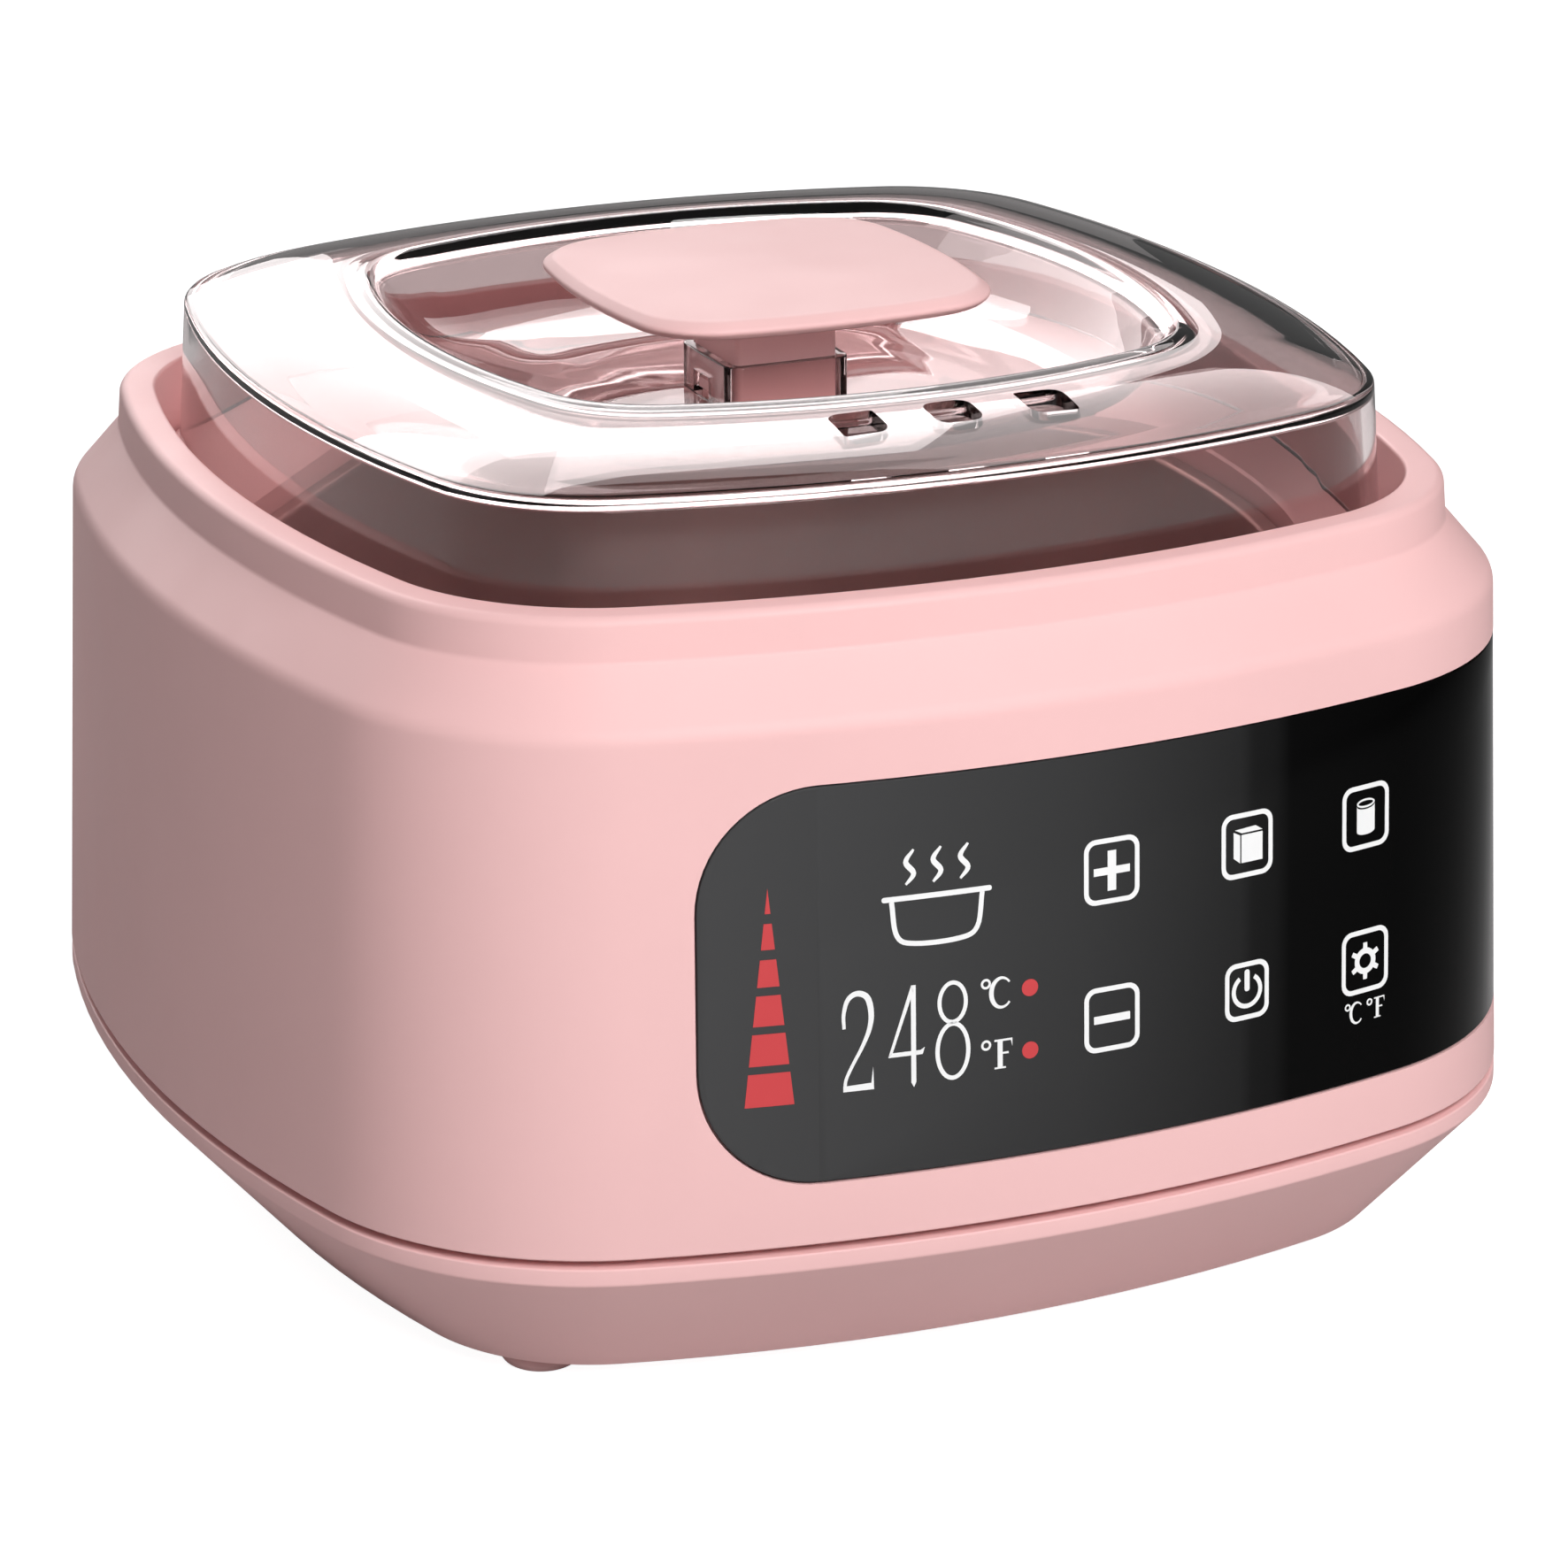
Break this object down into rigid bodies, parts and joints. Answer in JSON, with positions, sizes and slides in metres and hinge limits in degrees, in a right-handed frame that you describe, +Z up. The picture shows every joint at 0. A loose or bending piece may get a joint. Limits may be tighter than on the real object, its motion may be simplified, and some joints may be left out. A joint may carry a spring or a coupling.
{
  "type": "wax warmer pot",
  "caption": "Rounded-square table-top wax warmer with a wrap-around touch panel, a heated bowl, a removable inner pot and a clear vented lid with a square knob.",
  "frame": {"origin": "middle of the footprint, on the table under the feet", "axes": "+Z up, -Y towards the user in front of the touch panel, +X to the user's right"},
  "size_m": [0.2102, 0.2102, 0.1476],
  "materials": {
    "housing_plastic": "satin moulded plastic, rose pink",
    "knob_plastic": "fine matt moulded plastic, rose pink",
    "foot_rubber": "soft pink rubber",
    "panel_gloss": "polished black acrylic with printed white and red marks",
    "lid_clear": "clear polished plastic with a faint warm grey tint",
    "non_stick_coating": "dark brown-grey non-stick coating on aluminium",
    "bowl_aluminium": "plain drawn aluminium",
    "steel": "zinc-plated steel",
    "heater_mica": "mica sheet over a resistance winding",
    "glass_fibre": "woven glass-fibre sleeve",
    "circuit_board": "green solder-masked board",
    "display_housing": "grey display housing",
    "touch_foam": "conductive black foam",
    "black_plastic": "black moulded plastic",
    "terminal_green": "green screw-terminal moulding",
    "brass": "plain brass pin",
    "lead_blue": "blue silicone insulation",
    "lead_red": "red silicone insulation",
    "lead_white": "white silicone insulation"
  },
  "bodies": {
    "housing": {"upper_shell": "housing_plastic", "collar": "housing_plastic", "base_shell": "housing_plastic", "pot_frame": "housing_plastic", "control_panel": "panel_gloss", "rubber_foot_1": "foot_rubber", "rubber_foot_2": "foot_rubber", "rubber_foot_3": "foot_rubber", "rubber_foot_4": "foot_rubber", "base_screw_1": "steel", "base_screw_2": "steel", "base_screw_3": "steel", "base_screw_4": "steel", "inner_ring": "housing_plastic", "ring_screw_1": "steel", "ring_screw_2": "steel", "ring_screw_3": "steel", "ring_screw_4": "steel", "heating_bowl": "bowl_aluminium", "band_heater": "heater_mica", "insulation_sleeve": "glass_fibre", "band_clamp_screw": "steel", "heat_shield": "steel", "temperature_sensor": "steel", "thermal_fuse": "glass_fibre", "sensor_clip": "steel", "display_board": "circuit_board", "digit_display": "display_housing", "level_led_bar": "display_housing", "touch_pad_1": "touch_foam", "touch_pad_2": "touch_foam", "touch_pad_3": "touch_foam", "touch_pad_4": "touch_foam", "touch_pad_5": "touch_foam", "touch_pad_6": "touch_foam", "board_screw_1": "steel", "board_screw_2": "steel", "board_screw_3": "steel", "board_screw_4": "steel", "power_board": "circuit_board", "power_board_screw_1": "steel", "power_board_screw_2": "steel", "transformer": "black_plastic", "smoothing_capacitor": "black_plastic", "triac": "black_plastic", "terminal_block": "terminal_green", "mains_inlet": "black_plastic", "inlet_pin_1": "brass", "inlet_pin_2": "brass", "mains_lead_1": "lead_blue", "mains_lead_2": "lead_red", "heater_lead_1": "lead_white", "heater_lead_2": "lead_white", "ribbon_cable": "lead_white"},
    "pot": {"inner_pot": "non_stick_coating"},
    "lid": {"lid_shell": "lid_clear", "knob_stem": "knob_plastic", "knob_plate": "knob_plastic"}
  },
  "joints": [
    {"name": "pot_lift", "type": "slide", "parent": "housing", "child": "pot", "axis": [0, 0, 1], "range_m": [0, 0.12]},
    {"name": "lid_lift", "type": "slide", "parent": "pot", "child": "lid", "axis": [0, 0, 1], "range_m": [0, 0.12]}
  ]
}
